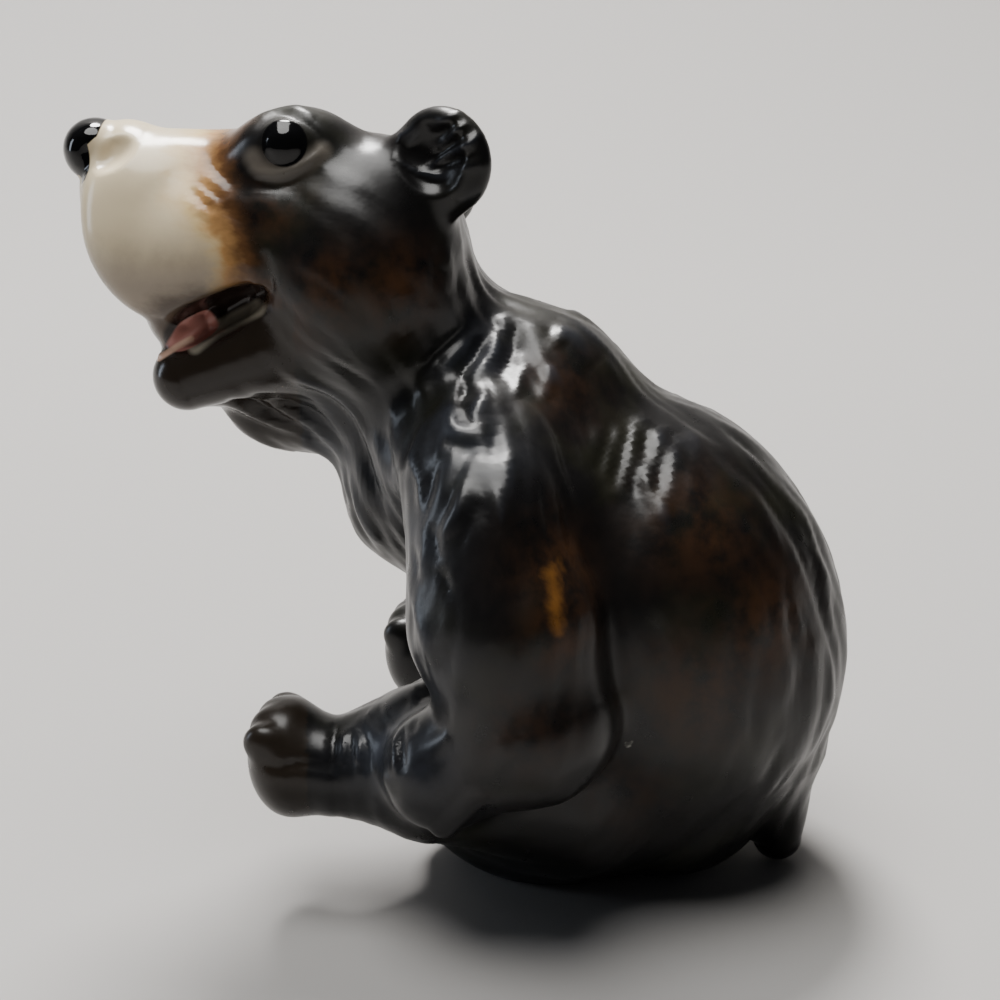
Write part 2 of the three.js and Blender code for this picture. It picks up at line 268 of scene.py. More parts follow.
def bear(p):
    """The whole clay form above the floor: negative inside, zero on the skin."""
    mirrored = p * (-1, 1, 1)
    legs = np.minimum(assembled(p, LEFT_LEG), assembled(mirrored, RIGHT_LEG))
    distance = join(assembled(p, BODY), legs, LEG_FILLET)
    distance = join(distance, head(p), HEAD_FILLET)
    rise = smooth(CREASE_TOP, SHOULDER_TOP, p[:, 2])
    arm_fillet = ARM_CREASE + (SHOULDER_FILLET - ARM_CREASE) * rise
    distance = join(distance, assembled(both_sides(p), ARM_SHAPES), arm_fillet)
    return np.maximum(distance, -p[:, 2])


def mesh_lines(stretches):
    """Even lines within each stretch, each stretch starting where the last one ends."""
    lines = [np.array([stretches[0][0]], float)]
    for start, end, spacing in stretches:
        steps = round((end - start) / spacing)
        lines.append(start + (end - start) * np.arange(1, steps + 1) / steps)
    return np.concatenate(lines)


def slope_of(form, p, reach=0.05):
    """Gradient of a form by central differences."""
    slope = np.empty_like(p)
    for axis in range(3):
        step = np.zeros(3)
        step[axis] = reach
        slope[:, axis] = (form(p + step) - form(p - step)) / (2.0 * reach)
    return slope


def settled(form, p, rounds=3, longest=0.35):
    """Points moved along the slope of the form, by short steps, until they lie on the surface."""
    for _ in range(rounds):
        slope = slope_of(form, p)
        steepness = np.sqrt((slope * slope).sum(1)) + 1e-6
        step = np.clip(form(p) / steepness, -longest, longest)
        p = p - (step / steepness)[:, None] * slope
    return p


def near_values(form, lines, stride=4, band=4.5):
    """Grid values of the form: from a coarse grid, and worked out afresh wherever the skin is near."""
    coarse = [np.append(axis[::stride], axis[-1]) for axis in lines]
    grid = np.stack(np.meshgrid(*coarse, indexing="ij"), -1)
    values = form(grid.reshape(-1, 3)).reshape(grid.shape[:3])
    for axis, (few, many) in enumerate(zip(coarse, lines)):
        place = np.clip(np.searchsorted(few, many, "right") - 1, 0, len(few) - 2)
        share = (many - few[place]) / np.maximum(few[place + 1] - few[place], 1e-9)
        shape = [1, 1, 1]
        shape[axis] = -1
        share = np.clip(share, 0, 1).reshape(shape)
        values = np.take(values, place, axis) * (1 - share) + np.take(values, place + 1, axis) * share
    near = np.argwhere(np.abs(values) < band)
    points = np.stack([lines[axis][near[:, axis]] for axis in range(3)], -1)
    values[tuple(near.T)] = form(points)
    return values


def skin_of(form, lines):
    """Vertices and quads of the skin: one vertex in each cell that the surface passes through, at the
    mean of the cell's crossed edges, and one quad across each crossed edge of the grid."""
    values = near_values(form, lines)
    inside = values < 0
    count = np.array(values.shape)
    corners = [inside[i:count[0] - 1 + i, j:count[1] - 1 + j, k:count[2] - 1 + k]
               for i in (0, 1) for j in (0, 1) for k in (0, 1)]
    total = sum(corner.astype(np.int8) for corner in corners)
    cells = np.argwhere((total > 0) & (total < 8))
    number = np.full(count - 1, -1, np.int64)
    number[tuple(cells.T)] = np.arange(len(cells))

    middle = np.zeros((len(cells), 3))
    crossed = np.zeros(len(cells))
    quads = []
    for axis in range(3):
        side, other = (axis + 1) % 3, (axis + 2) % 3
        for u in (0, 1):
            for v in (0, 1):
                start = cells.copy()
                start[:, side] += u
                start[:, other] += v
                end = start.copy()
                end[:, axis] += 1
                a = values[tuple(start.T)]
                b = values[tuple(end.T)]
                cross = (a < 0) != (b < 0)
                share = np.where(cross, a / np.where(cross, a - b, 1.0), 0.0)
                point = np.stack([lines[k][start[:, k]] for k in range(3)], -1)
                point[:, axis] += share * (lines[axis][end[:, axis]] - lines[axis][start[:, axis]])
                middle += np.where(cross, 1.0, 0.0)[:, None] * point
                crossed += cross
        low = [slice(None)] * 3
        high = [slice(None)] * 3
        low[axis] = slice(0, -1)
        high[axis] = slice(1, None)
        edge = np.argwhere(inside[tuple(low)] != inside[tuple(high)])
        leaves = inside[tuple(edge.T)]
        ring = []
        for u, v in ((-1, -1), (0, -1), (0, 0), (-1, 0)):
            cell = edge.copy()
            cell[:, side] += u
            cell[:, other] += v
            ring.append(number[tuple(cell.T)])
        quad = np.stack(ring, -1)
        quads.append(np.where(leaves[:, None], quad, quad[:, ::-1]))
    return settled(form, middle / crossed[:, None]), np.concatenate(quads)


# Fur is carved in locks. Each guide gives the lie of the fur near a place: where, which way, how deep
FUR_GUIDES = (
    ((9, -8, 104), (0.2, 1, -0.2), 0.25), ((18, -6, 88), (0.1, 0.9, -0.6), 0.4),
    ((14, 4, 84), (0.1, 0.8, -0.7), 0.8), ((0, 2, 92), (0, 0.8, -0.7), 0.5),
    ((12, -10, 78), (0.1, 0.5, -0.9), 0.9), ((4, -28, 64), (0, 0.8, -0.6), 1.0),
    ((10, -18, 64), (0, 0.6, -0.8), 1.0), ((8, -12, 54), (0, 0.25, -1), 1.0),
    ((0, 14, 80), (0, 0.9, -0.5), 0.5), ((14, 8, 76), (0.3, 0.1, -1), 1.0),
    ((24, 6, 70), (0.3, -0.1, -1), 0.9), ((33, 6, 54), (0.1, 0.1, -1), 0.7),
    ((34, 18, 52), (0.1, 0.1, -1), 0.35), ((36, 16, 36), (0, -0.5, -0.9), 0.3),
    ((12, 25, 68), (0.5, 0.1, -0.8), 0.9), ((6, 38, 66), (0.1, 0.8, -0.6), 0.45),
    ((12, 47, 52), (0.1, 0.4, -0.9), 0.7), ((8, 54, 36), (0, 0.1, -1), 0.8),
    ((14, 50, 20), (0, -0.3, -0.9), 0.7), ((22, 38, 44), (0.1, 0.1, -1), 0.3),
    ((24, 34, 24), (0, -0.3, -0.9), 0.4), ((24, 10, 20), (0, -0.9, -0.3), 0.4),
    ((30, -3, 32), (0.5, 0.2, -0.8), 0.9), ((29, -8, 24), (0.1, 0.1, -1), 0.6),
    ((0, -2, 40), (0, 0, -1), 0.5), ((16, 20, 8), (0.2, -0.6, -0.4), 0.2),
)
GUIDE_REACH = 9.0
LOCK_SEED = 7
LOCK_SPACING = 4.2
LOCK_LENGTH = (9.0, 19.0)
LOCK_WIDTH = (0.85, 1.35)
LOCK_DEPTH = 0.26

# Marks carved on the left side, as (y, z) points, half width and height; grooves are negative
SIDE_MARKS = (
    (((6.5, 80.8), (4.1, 78.6), (1.6, 76)), 1.3, 0.5), (((4.6, 81.4), (2.4, 79), (0, 76.4)), 0.9, -0.6),
    (((8.3, 82), (8.5, 78.8), (7.1, 76.7), (5.8, 75.9)), 1.1, 0.6),
    (((10.4, 81), (10.6, 78), (9.3, 75.6)), 0.9, -0.45), (((6.2, 80), (6, 78), (4.6, 76)), 0.8, -0.5),
    (((9.4, 74.7), (7.9, 72.7)), 1.0, 0.5), (((6.4, 75.3), (5.6, 73.4)), 0.8, -0.5),
    (((4.6, 73.4), (6.2, 71.6), (9.1, 71.4), (10.9, 72.2)), 0.9, 0.65),
    (((5.6, 70.4), (8, 70.4), (10.5, 71)), 0.7, -0.35),
    (((6.8, 70.6), (9.2, 70.4), (11.8, 70.4), (14.4, 69.4)), 1.2, -0.5),
    (((9.4, 67.4), (8.6, 64.5), (7.4, 60.6)), 1.2, 0.4), (((13.2, 67), (14.2, 64.4), (14.6, 61.6)), 1.0, 0.35),
    (((11.6, 65.6), (10, 62.2), (9.3, 59.4)), 0.9, -0.55), (((7.6, 66), (6.2, 62.4), (5.4, 59)), 0.9, -0.4),
    (((15.3, 80.9), (19.3, 78.7), (21.3, 76.2)), 1.5, 0.4), (((18.9, 80), (22.6, 76.4)), 1.2, -0.35),
    (((12.1, 77), (13.1, 74.2)), 0.7, 0.4), (((15.5, 76.6), (16.4, 73.2)), 0.7, 0.4),
    (((15.7, 80.3), (16.5, 78.4)), 0.8, 0.3),
    (((22.9, 69.4), (23.1, 65.6)), 0.9, 0.22), (((25.6, 69.4), (25, 64.6)), 1.0, 0.28),
    (((27.3, 70), (27.4, 67.5), (26.6, 61.5)), 1.1, 0.3), (((30.6, 68.4), (30.1, 62.6)), 1.0, 0.25),
    (((32.9, 67.4), (32.6, 59)), 1.2, 0.22), (((34.5, 67.8), (36.5, 61.6)), 1.0, 0.2),
    (((24.2, 70), (24, 64.6)), 0.8, -0.25), (((26.5, 70), (25.8, 62.6)), 0.8, -0.28),
    (((29, 69), (28.4, 62)), 0.9, -0.25), (((31.6, 68), (31.3, 60)), 0.9, -0.22),
    (((-13.6, 58.9), (-10.9, 54), (-8.3, 48.8)), 1.0, 0.5), (((-15, 56), (-12, 51), (-9, 46)), 0.9, -0.5),
    (((-7.9, 67), (-5.4, 62.3), (-3.5, 58.4)), 1.0, 0.5), (((-6, 68), (-3.2, 62.5), (-1.6, 58)), 0.9, -0.6),
    (((-11, 64), (-8.4, 59), (-6.2, 54)), 0.9, -0.5), (((0, 67.9), (2.4, 65.4), (3.4, 62)), 0.9, 0.4),
    (((0.9, 54.6), (4.4, 49.7), (7, 44.1)), 1.0, 0.35), (((6.6, 57.3), (9, 53.6)), 0.8, -0.4),
    (((4.5, 61.3), (7.3, 57.4)), 0.9, -0.4), (((2, 58), (4.4, 53.5)), 0.8, -0.35),
    (((34.5, 67.9), (43.6, 62.1), (49.6, 53.7)), 1.4, -0.3), (((45, 60.8), (50.9, 51.1), (53.6, 40.7)), 1.2, -0.4),
    (((48, 60), (53, 50), (55.4, 40)), 0.9, 0.35), (((51.4, 50.7), (54.3, 42.4), (54.9, 31.4)), 1.1, -0.4),
    (((49.2, 47.7), (51.9, 36.6), (50.6, 24.4)), 1.4, -0.3), (((52.6, 42), (53, 32), (51, 22)), 1.0, 0.3),
    (((48.9, 35), (46.9, 22.5), (41.8, 15.5)), 1.6, -0.25),
    (((-6.3, 29.8), (-3, 29.6), (-1.2, 27)), 0.8, -0.6), (((-1.7, 35.7), (1.2, 31.8), (2.4, 28.6)), 0.8, -0.6),
    (((0.3, 36.6), (3, 32.8)), 0.7, -0.5), (((-7.5, 29.1), (-5.3, 27.2), (-4.6, 24)), 0.7, -0.5),
    (((-4.6, 31), (-2, 29), (-0.4, 25.6)), 0.8, 0.45), (((-0.6, 34), (0.6, 31), (1.4, 28)), 0.7, 0.4),
    (((-9.3, 28), (-8, 24.4)), 0.7, 0.35), (((-6.6, 28.2), (-5.7, 24.8)), 0.7, 0.35),
    (((-8, 28.2), (-6.9, 24)), 0.6, -0.35), (((-10.6, 28.4), (-9.6, 23)), 0.7, -0.4),
    (((-20, 24.9), (-17.6, 23.9), (-14, 24.2), (-9.4, 24.1)), 0.8, -0.45),
    (((-31.7, 66.9), (-27.6, 64.3), (-20.2, 63.2)), 0.9, -0.6), (((-27.7, 70.6), (-23.8, 67.1), (-17.3, 62.9)), 0.9, -0.6),
    (((-24.9, 69), (-18, 67.5), (-13.2, 62.2)), 0.9, -0.55), (((-30, 68.6), (-25.6, 65.8), (-18.6, 63)), 0.9, 0.5),
    (((-26, 69.8), (-21, 67.4), (-15.6, 62.6)), 0.9, 0.5),
)

# Marks on the left of the head, as (y, z) points in the head's frame
HEAD_MARKS = (
    (((-13.6, 10), (-13, 11.1), (-11.8, 12.1), (-10.2, 12.5), (-8.6, 12), (-7.3, 10.6), (-6.9, 9.2)), 0.4, 0.25),
    (((-13.9, 11.4), (-13.3, 12.6), (-11.6, 13.7), (-9.6, 13.5), (-7.9, 12.4), (-6.3, 10.8), (-5.3, 9.2)),
     0.75, -0.6),
    (((-14.4, 13.6), (-12.2, 15), (-10.4, 15.2), (-8.7, 14.5), (-6.4, 12.8)), 0.8, 0.3),
    (((-15, 6.8), (-14, 6), (-11.6, 5.6), (-9.5, 6.1), (-7.3, 7.2), (-5.2, 8.8)), 0.6, 0.55),
    (((-14.8, 4.8), (-11.6, 4.2), (-9.2, 4.8), (-6, 6.4)), 0.9, -0.35),
    (((4.2, 9.8), (6.7, 11.9)), 0.6, 0.5), (((5.2, 9), (7.4, 11.2)), 0.5, 0.4), (((4.6, 10.6), (6.4, 12)), 0.4, -0.3),
    (((7.4, 5.5), (10.4, 7.6), (13.2, 8.6), (15, 10.3)), 0.5, 0.5), (((9.2, 8.2), (12.6, 11.2)), 0.45, 0.5),
    (((8.4, 10.9), (12.8, 13)), 0.7, 0.3), (((7.9, 5.2), (11.9, 5.6), (15.8, 6.1)), 0.6, 0.25),
    (((8.2, 6.8), (11.6, 9.4), (14, 10.6)), 0.6, -0.3), (((8.4, 9.7), (12.6, 12.1)), 0.6, -0.3),
    (((8.3, 6), (11.5, 6.7), (15.2, 7.7)), 0.5, -0.2),
    (((3.6, 8), (5, 6.6), (6.9, 5.5), (9.4, 4.9), (12.5, 4.3)), 0.4, 0.4),
    (((11.4, 1.4), (13.4, 2.4), (15.2, 3.6)), 0.9, 0.25),
    (((-23, 4.3), (-19.8, 0.9)), 0.6, -0.25), (((-22, 5.4), (-18.6, 2.4)), 0.6, -0.2),
    (((-21.8, 1), (-19.2, -2.4)), 0.6, -0.22), (((-20.4, 7.8), (-17.2, 4.4)), 0.7, -0.22),
    (((-19.8, -1.6), (-17.2, -5.4)), 0.6, -0.22), (((-18.4, 2), (-14.8, -2.8)), 0.8, -0.25),
    (((-14.4, -11.4), (-15.6, -12.6), (-18.5, -14), (-20.8, -15.5), (-24, -17.3)), 0.5, 0.35),
    (((-15.4, -5), (-14.7, -8), (-15, -11.6)), 0.8, 0.4), (((-13.6, -4), (-13, -8), (-13.4, -12)), 0.8, -0.45),
    (((13.9, -2.6), (11.2, -10.9)), 1.0, -0.3), (((9, -4), (8.4, -12)), 1.1, -0.25),
    (((11, -1), (10, -7)), 0.9, 0.25), (((4, -3), (5, -10)), 1.3, -0.2),
)
MARK_REACH = 3.2  # widths from a mark beyond which it changes nothing


def to_polyline(y, z, points):
    """Distance in the (y, z) plane to a polyline, and how far along it, from 0 to 1, the nearest place is."""
    best = np.full(len(y), np.inf)
    along = np.zeros(len(y))
    points = np.array(points, float)
    lengths = np.hypot(*np.diff(points, axis=0).T)
    travelled = 0.0
    for start, end, length in zip(points[:-1], points[1:], lengths):
        step = (end - start) / length
        t = np.clip((y - start[0]) * step[0] + (z - start[1]) * step[1], 0, length)
        gap = np.hypot(y - start[0] - t * step[0], z - start[1] - t * step[1])
        nearer = gap < best
        along = np.where(nearer, (travelled + t) / lengths.sum(), along)
        best = np.where(nearer, gap, best)
        travelled += length
    return best, along


def rounded(points, pieces=4):
    """A polyline bent round smoothly through its points: between two of them it is the cubic whose slope
    at each point runs parallel to the line between that point's neighbours."""
    points = np.array(points, float)
    ends = np.concatenate([2 * points[:1] - points[1:2], points, 2 * points[-1:] - points[-2:-1]])
    t = (np.arange(pieces) / pieces)[:, None]
    curve = [0.5 * (2 * b + (c - a) * t + (2 * a - 5 * b + 4 * c - d) * t ** 2 + (3 * b - a - 3 * c + d) * t ** 3)
             for a, b, c, d in zip(ends, ends[1:], ends[2:], ends[3:])]
    return np.concatenate(curve + [points[-1:]])


def carved_marks(p, normal, marks, strength=1.0):
    """Height of carved marks: each is a bell across its line that fades at both ends."""
    height = np.zeros(len(p))
    facing = smooth(0.05, 0.35, normal[:, 0])
    for points, width, rise in marks:
        low = np.min(points, axis=0) - MARK_REACH * width
        high = np.max(points, axis=0) + MARK_REACH * width
        near = np.flatnonzero((p[:, 0] > 0) & (p[:, 1] > low[0]) & (p[:, 1] < high[0])
                              & (p[:, 2] > low[1]) & (p[:, 2] < high[1]) & (facing > 0))
        gap, along = to_polyline(p[near, 1], p[near, 2], rounded(points))
        taper = np.clip(4.0 * along * (1.0 - along), 0.0, 1.0) ** 0.7
        height[near] += strength * rise * taper * hill(gap, width) * facing[near]
    return height


def fur_guide(p):
    """Lie and depth of the fur: the guides' own, weighed by how near each guide is."""
    flow = np.zeros_like(p)
    depth = np.zeros(len(p))
    total = np.full(len(p), 1e-9)
    side = np.sign(p[:, 0] + 1e-12)
    mirrored = both_sides(p)
    for at, way, strength in FUR_GUIDES:
        gap = ((mirrored - at) ** 2).sum(1)
        weight = np.exp(-gap / (2 * GUIDE_REACH ** 2)) + 1e-6
        flow += weight[:, None] * np.array(way)
        depth += weight * strength
        total += weight
    flow[:, 0] *= side
    return flow, depth / total


def bare_of_fur(p):
    """How much of the fur shows, from 0 where the cast is smooth to 1."""
    h = in_head(p)
    muzzle = smooth(-19.0, -11.0, h[:, 1])
    is_head = smooth(-16.0, -13.0, -h[:, 1] - 0 * h[:, 0]) * (h[:, 2] > -26)
    eye = smooth(5.5, 8.5, np.sqrt(((both_sides(h) - EYE["at"]) ** 2).sum(1)))
    ear = smooth(8.0, 10.5, np.sqrt(((both_sides(h) - EAR["at"]) ** 2).sum(1)))
    side = both_sides(p)
    paw = smooth(10.0, 13.0, np.sqrt(((side - (33, 6, 28)) ** 2).sum(1)))
    foot_shift = np.where(p[:, :1] < 0, 1.0, 0.0) * (0, FAR_FOOT_BACK, -FAR_FOOT_DROP)
    foot = smooth(9.5, 12.5, np.sqrt(((side - foot_shift - (24, -19, 22)) ** 2).sum(1)))
    base = smooth(1.0, 6.0, p[:, 2])
    in_muzzle = np.where((h[:, 1] < -10) & (h[:, 2] > -27) & (np.abs(h[:, 0]) < 15), muzzle, 1.0)
    return in_muzzle * eye * ear * paw * foot * base


def fur(p, normal):
    """Height of the carved fur. Each lock is a bent groove or ridge laid along the guides: a bell across
    it and a hump along it."""
    draw = np.random.default_rng(LOCK_SEED)
    shuffled = draw.permutation(len(p))
    cells = np.floor(p[shuffled] / LOCK_SPACING).astype(int)
    keep = shuffled[np.unique(cells, axis=0, return_index=True)[1]]
    flow, depth = fur_guide(p[keep])
    depth = depth * bare_of_fur(p[keep])
    height = np.zeros(len(p))
    order = np.argsort(p[:, 2])
    sorted_z = p[order, 2]
    for at, out, way, deep in zip(p[keep], normal[keep], flow, depth):
        length = draw.uniform(*LOCK_LENGTH)
        width = draw.uniform(*LOCK_WIDTH)
        sign = -1.0 if draw.random() < 0.62 else 0.8
        swing = draw.normal(0.0, 0.1)
        bend = draw.normal(0.0, 0.008)
        rise = sign * LOCK_DEPTH * deep * draw.uniform(0.6, 1.3)
        if deep < 0.03:
            continue
        along = way - out * (way @ out)
        along /= np.linalg.norm(along) + 1e-9
        across = np.cross(out, along)
        along, across = along + swing * across, across - swing * along
        along /= np.linalg.norm(along)
        across /= np.linalg.norm(across)
        first, last = np.searchsorted(sorted_z, (at[2] - length, at[2] + length))
        near = order[first:last]
        reach = p[near] - at
        u = reach @ along
        v = reach @ across - bend * u * u
        close = (np.abs(u) < length / 2) & (np.abs(v) < 3 * width) & (np.abs(reach @ out) < 5)
        close &= normal[near] @ out > 0.2
        u, v = u[close], v[close]
        height[near[close]] += rise * (1 - (2 * u / length) ** 2) ** 2 * hill(v, width)
    return height


def nose_and_lip(h):
    """Height of the groove under the nose and of the pits that the nostrils end in."""
    x = np.abs(h[:, 0])
    front = smooth(-33.5, -36.0, h[:, 1])
    groove = -0.55 * hill(x, 0.8) * front * smooth(-9.0, -6.0, h[:, 2]) * smooth(7.6, 5.8, h[:, 2])
    rolls = 0.25 * hill(x - 1.9, 0.9) * front * smooth(-9.0, -6.0, h[:, 2]) * smooth(7.6, 5.8, h[:, 2])
    pit = -0.9 * hill(np.hypot(h[:, 1] + 36.9, (h[:, 2] - 9.6) * 0.8), 1.0) * smooth(3.0, 4.2, x)
    return groove + rolls + pit


def relief(p, normal):
    """Height of everything that is carved into the smooth form."""
    h = in_head(p)
    head_normal = normal @ HEAD_AXES.T
    height = fur(p, normal) + carved_marks(p, normal, SIDE_MARKS)
    height += carved_marks(p * (-1, 1, 1), normal * (-1, 1, 1), SIDE_MARKS, 0.8)
    head_zone = (h[:, 1] > -26) & (h[:, 1] < 18) & (h[:, 2] > -20)
    height += np.where(head_zone, carved_marks(h, head_normal, HEAD_MARKS), 0.0)
    height += np.where(head_zone, carved_marks(h * (-1, 1, 1), head_normal * (-1, 1, 1), HEAD_MARKS), 0.0)
    height += nose_and_lip(h)
    return height * smooth(0.0, 2.5, p[:, 2])


def surface_slope(p, quads, value):
    """Gradient of a value along the surface: each triangle's own gradient, spread to its corners by area."""
    triangles = np.concatenate([quads[:, [0, 1, 2]], quads[:, [0, 2, 3]]])
    a, b, c = (p[triangles[:, k]] for k in range(3))
    double_area = np.cross(b - a, c - a)
    size = np.maximum((double_area ** 2).sum(1), 1e-12)[:, None]
    slope = np.zeros_like(a)
    for corner, edge in ((0, c - b), (1, a - c), (2, b - a)):
        slope += value[triangles[:, corner], None] * np.cross(double_area, edge)
    slope /= size
    weight = np.sqrt(size[:, 0])
    total = np.zeros(len(p))
    spread = np.zeros_like(p)
    for corner in range(3):
        total += np.bincount(triangles[:, corner], weight, len(p))
        for axis in range(3):
            spread[:, axis] += np.bincount(triangles[:, corner], weight * slope[:, axis], len(p))
    return spread / np.maximum(total, 1e-12)[:, None]


# Paint, as distances and amounts on the smooth form
NOSE_LINE = ((5.2, -38.6), (5.9, -37.3), (7.2, -36.7), (8.9, -36.8), (10.7, -36.9), (11.7, -35.5), (14.3, -34.7))
MUZZLE_LINE = ((-24, -16.0), (-8, -17.2), (-3, -17.8), (2.6, -20.4), (9.4, -20.2), (14, -17.5))
CHEEK_BROWN = (((18, 4, -9.6), 5.5, 1.0), ((18, -5, -9.4), 5.0, 0.9), ((13.5, -12.5, 1.4), 4.5, 0.8),
               ((13, -12, -13), 5.5, 0.8), ((6, 4, 12), 5.0, 0.3))
# Brown clouds on the arm and flank: partly brown paint, partly a painted warm reflection of the room
BODY_BROWN_AND_WARM_REFLECTION = (((30, 20, 56), 6.0, 0.9), ((35, 23, 50), 5.0, 1.0), ((37, 19, 38), 6.0, 0.5),
              ((18, 38, 58), 8.0, 0.6), ((18, 47, 46), 8.0, 0.9), ((24, 39, 38), 8.0, 0.8),
              ((12, 18, 75), 6.0, 0.4), ((24, 30, 22), 7.0, 0.4), ((35, 14, 30), 4.0, 0.5))
# Blue-grey clouds on the chest, arm, paw and neck: partly blue-grey paint, partly a painted sheen of reflected light
BLUE_SHEEN_AND_WASH = (((10, -16, 62), 9.0, 1.0), ((14, -4, 62), 8.0, 0.9), ((28, 0, 56), 9.0, 1.0),
             ((36, 4, 44), 7.0, 0.8), ((30, -3, 28), 7.0, 1.0), ((37, 6, 30), 6.0, 0.6),
             ((26, 9, 69), 6.0, 0.7), ((12, 6, 78), 6.0, 0.5))
GUM_LINE = ((-24, -15.3), (-26, -16.3), (-28.6, -17.8))
LOWER_LIP_LINE = ((-14.9, -11.4), (-17.6, -12.6), (-20.6, -14.2), (-23.4, -16.2))
LOWER_LID_LINE = ((-14.6, 8), (-13.6, 6.6), (-11.6, 5.8), (-9.5, 6.2), (-7.3, 7.2), (-5.6, 8.6))
CHIP_AT = (25.9, 29.9, 30.6)
STREAK = ((20.6, 57), (21.6, 54), (22.4, 50))


def blobs(p, places):
    amount = np.zeros(len(p))
    for at, reach, strength in places:
        amount = np.maximum(amount, strength * np.exp(-((p - at) ** 2).sum(1) / reach ** 2))
    return amount


def paint_layers(p):
    """Every painted area, as a value on each vertex."""
    h = in_head(p)
    side = both_sides(h)
    x, y, z = side[:, 0], h[:, 1], h[:, 2]
    in_front = (y < -9) & (z > -27) & (x < 16)
    nose_line = np.interp(z, *zip(*NOSE_LINE))
    nose = np.where(in_front, np.minimum(nose_line - y, z - 5.4 - 1.6 * smooth(4.5, 2.0, x)), -9.0)
    muzzle_line = np.interp(z, *zip(*MUZZLE_LINE)) + 0.15 * np.clip(x - 8, 0, 5)
    muzzle = np.where(in_front & (z > -26), muzzle_line - y, -12.0)
    mouth = shape_distance(side, dict(SKULL["mouth"], size=(9, 9.6, 3.3)))
    inner = np.where(in_front, -mouth, -9.0) - np.clip(x - 9.6, 0, 9) * 1.5
    tongue_gap = egg(side, (0, -23.6, -14.2), (6.9, 5.6, 3.3), tilt=-40)
    lower = jaw_paint(y, z, x)
    gum_gap, _ = to_polyline(y, z, GUM_LINE)
    lower_lip_gap, _ = to_polyline(y, z, LOWER_LIP_LINE)
    lid_gap, _ = to_polyline(y, z, rounded(LOWER_LID_LINE))
    eye = -shape_distance(side, dict(EYE, size=(4, 3.35, 3.35)))
    mirrored = both_sides(p)
    streak_gap, _ = to_polyline(p[:, 1], p[:, 2], STREAK)
    chip = np.sqrt(((p - CHIP_AT) ** 2).sum(1))
    return {
        "nose_mm": nose,
        "muzzle_mm": muzzle,
        "muzzle_up": np.clip(z, -20, 20),
        # mouth_mm: how far into the mouth; it carries the painted shade of the lip and of the mouth's hollow
        "mouth_mm": inner,
        "tongue_mm": np.where(in_front, -tongue_gap, -9.0),
        "gum_mm": np.where(in_front, 0.5 - gum_gap, -9.0),
        # Painted light: a pale band on the lower lip's up-facing inner face
        "lit_lower_lip_mm": np.where(in_front, 1.0 - lower_lip_gap, -9.0),
        # Painted light on the lower lid, partly pale paint
        "lit_lid_mm": np.where(x > 4, 0.7 - lid_gap, -9.0),
        "jaw": lower,
        "eye_mm": np.where(y < 0, eye, -9.0),
        # brown: real paint on the cheeks; on the body partly a painted warm reflection
        "brown": np.maximum(blobs(side, CHEEK_BROWN), blobs(mirrored, BODY_BROWN_AND_WARM_REFLECTION)),
        # partly blue-grey paint, partly painted sheen
        "sheen_and_wash": blobs(mirrored, BLUE_SHEEN_AND_WASH),
        "streak_mm": np.where(p[:, 0] > 20, -streak_gap, -9.0),
        "chip_mm": 1.3 - chip,
        "ear_bowl": np.clip(1.0 - shape_distance(side, dict(EAR_BOWL, size=(3.4, 5.4, 5.4))), 0, 1),
    }


def jaw_paint(y, z, x):
    """1 on the lower jaw, which is painted dark under the pale upper lip."""
    line = np.interp(y, (-30, -27.5, -24, -14), (-17.6, -17.4, -16.4, -11.6))
    return smooth(0.35, -0.35, z - line) * (y < -10)


def make_bear():
    """The bear's mesh: the smooth form's skin moved out by the relief, with normals worked out from both."""
    lines = [mesh_lines(stretches) for stretches in MESH_LINES]
    p, quads = skin_of(bear, lines)
    slope = slope_of(bear, p)
    normal = slope / (np.linalg.norm(slope, axis=1)[:, None] + 1e-9)
    height = relief(p, normal)
    tilted = normal - surface_slope(p, quads, height)
    tilted /= np.linalg.norm(tilted, axis=1)[:, None] + 1e-9
    placed = p + height[:, None] * normal
    placed[:, 2] = np.maximum(placed[:, 2], 0.0)

    mesh = bpy.data.meshes.new("glazed_bear")
    mesh.from_pydata(((placed + ROW_SHIFT) * MM).tolist(), [], quads.tolist())
    mesh.validate()
    for name, value in dict(paint_layers(p), relief_mm=height).items():
        layer = mesh.attributes.new(name, "FLOAT", "POINT")
        layer.data.foreach_set("value", value.astype(np.float32))
    mesh.shade_smooth()
    mesh.normals_split_custom_set_from_vertices(tilted.tolist())
    piece = bpy.data.objects.new("glazed_bear", mesh)
    bpy.context.scene.collection.objects.link(piece)
    print("bear vertices", len(p), "triangles", 2 * len(quads))
    return piece


def linear(red, green, blue):
    """A colour given as it looks on a screen, from 0 to 255, in the linear values that shaders take."""
    values = np.array([red, green, blue]) / 255.0
    values = np.where(values <= 0.04045, values / 12.92, ((values + 0.055) / 1.055) ** 2.4)
    return (*values.tolist(), 1.0)


